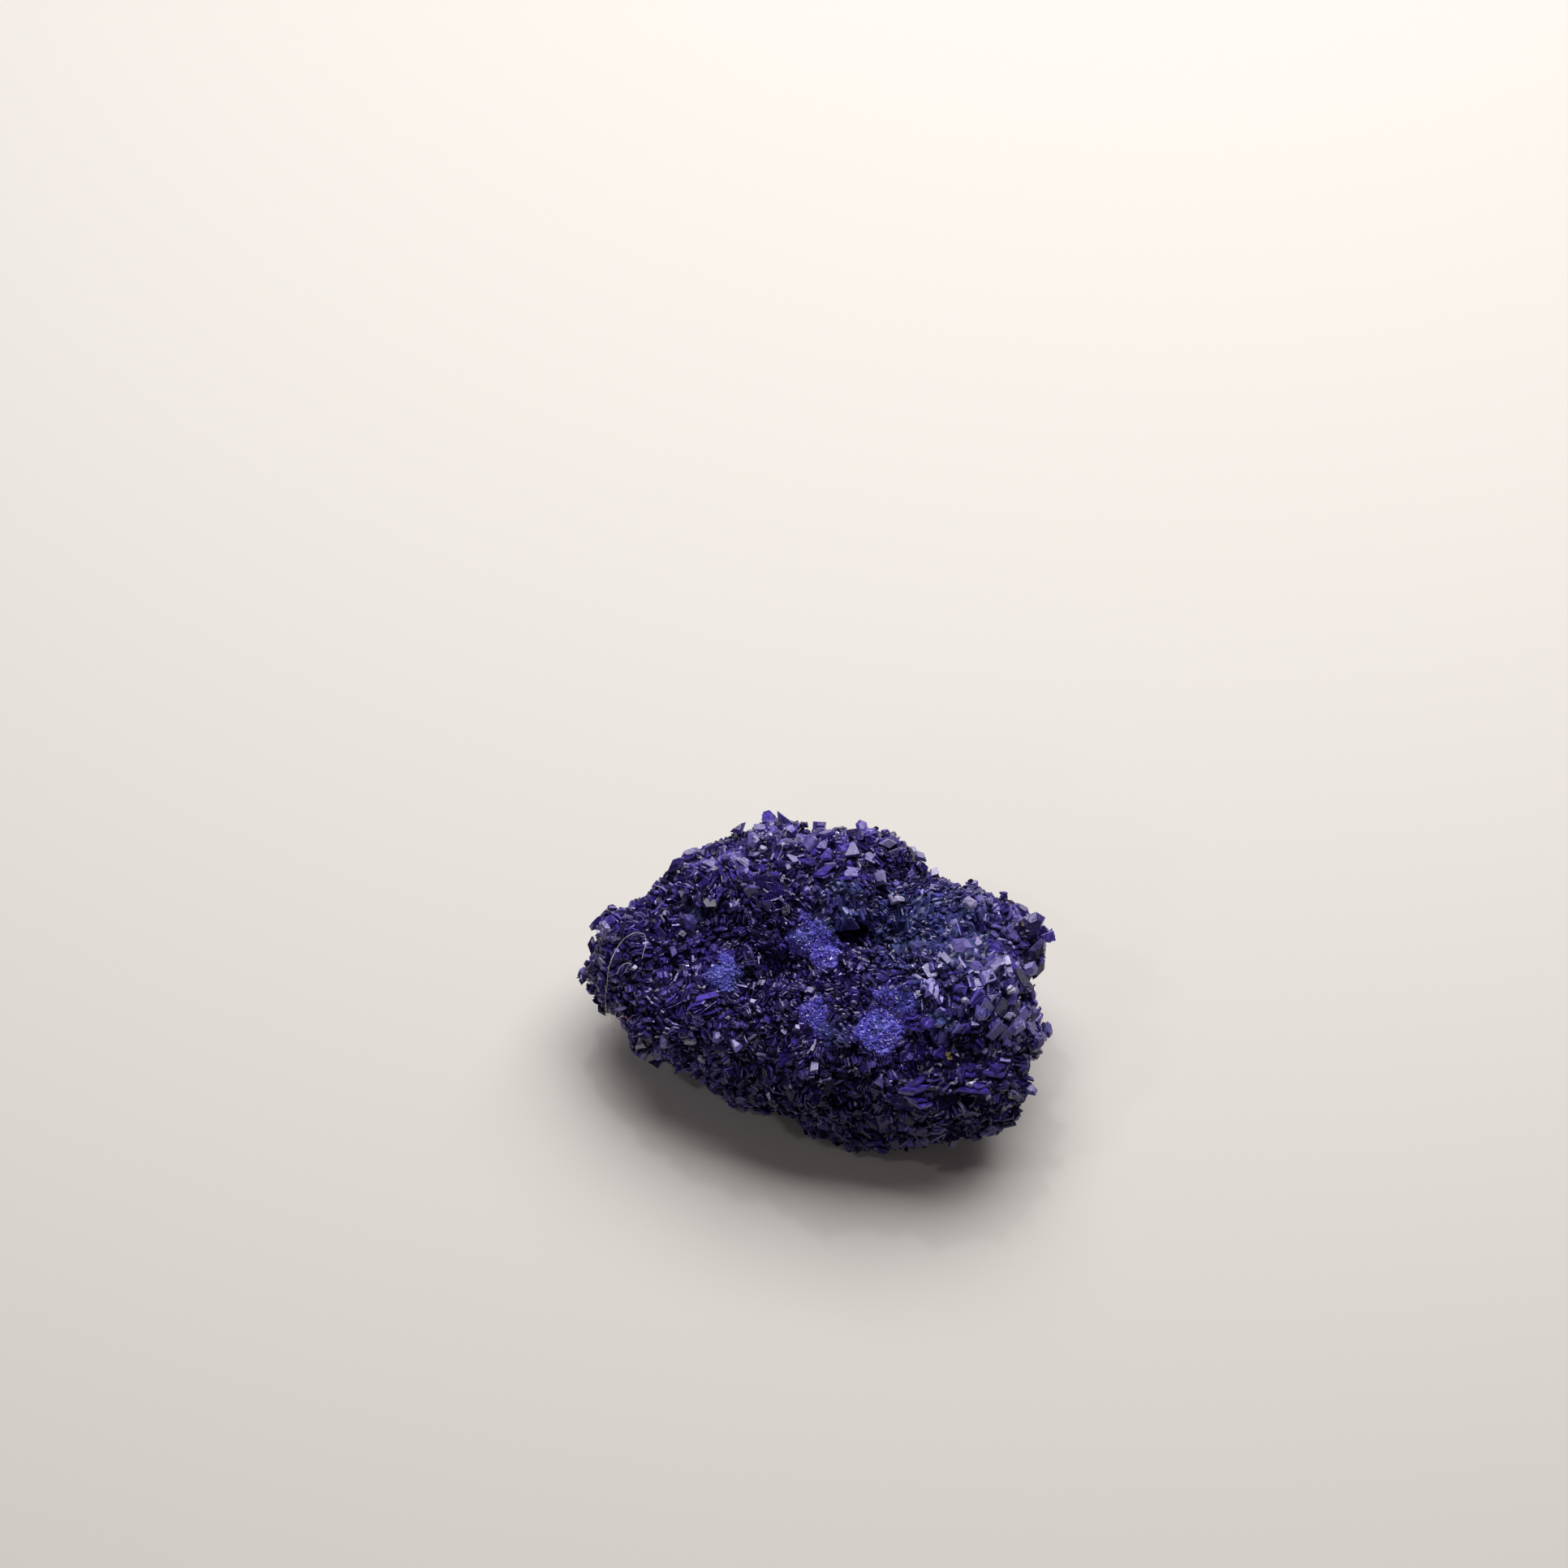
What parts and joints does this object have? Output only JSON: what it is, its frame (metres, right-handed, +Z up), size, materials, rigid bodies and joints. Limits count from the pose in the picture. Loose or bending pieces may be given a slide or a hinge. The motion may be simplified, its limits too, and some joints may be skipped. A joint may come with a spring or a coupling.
{
  "type": "azurite crystal cluster",
  "caption": "Small lumpy mineral specimen of intergrown dark blue tabular azurite crystals, with a deep hollow in its top and a flat broken underside to rest on.",
  "frame": {"origin": "middle of the specimen's box, on the broken face that it rests on", "axes": "+X along its length to the end with the large crystal faces, +Y to the higher back, +Z up"},
  "size_m": [0.0458, 0.0332, 0.02],
  "materials": {
    "azurite": "many small glossy crystal faces, vitreous, with dull broken spots"
  },
  "bodies": {
    "root": {"azurite_cluster": "azurite"}
  },
  "joints": []
}
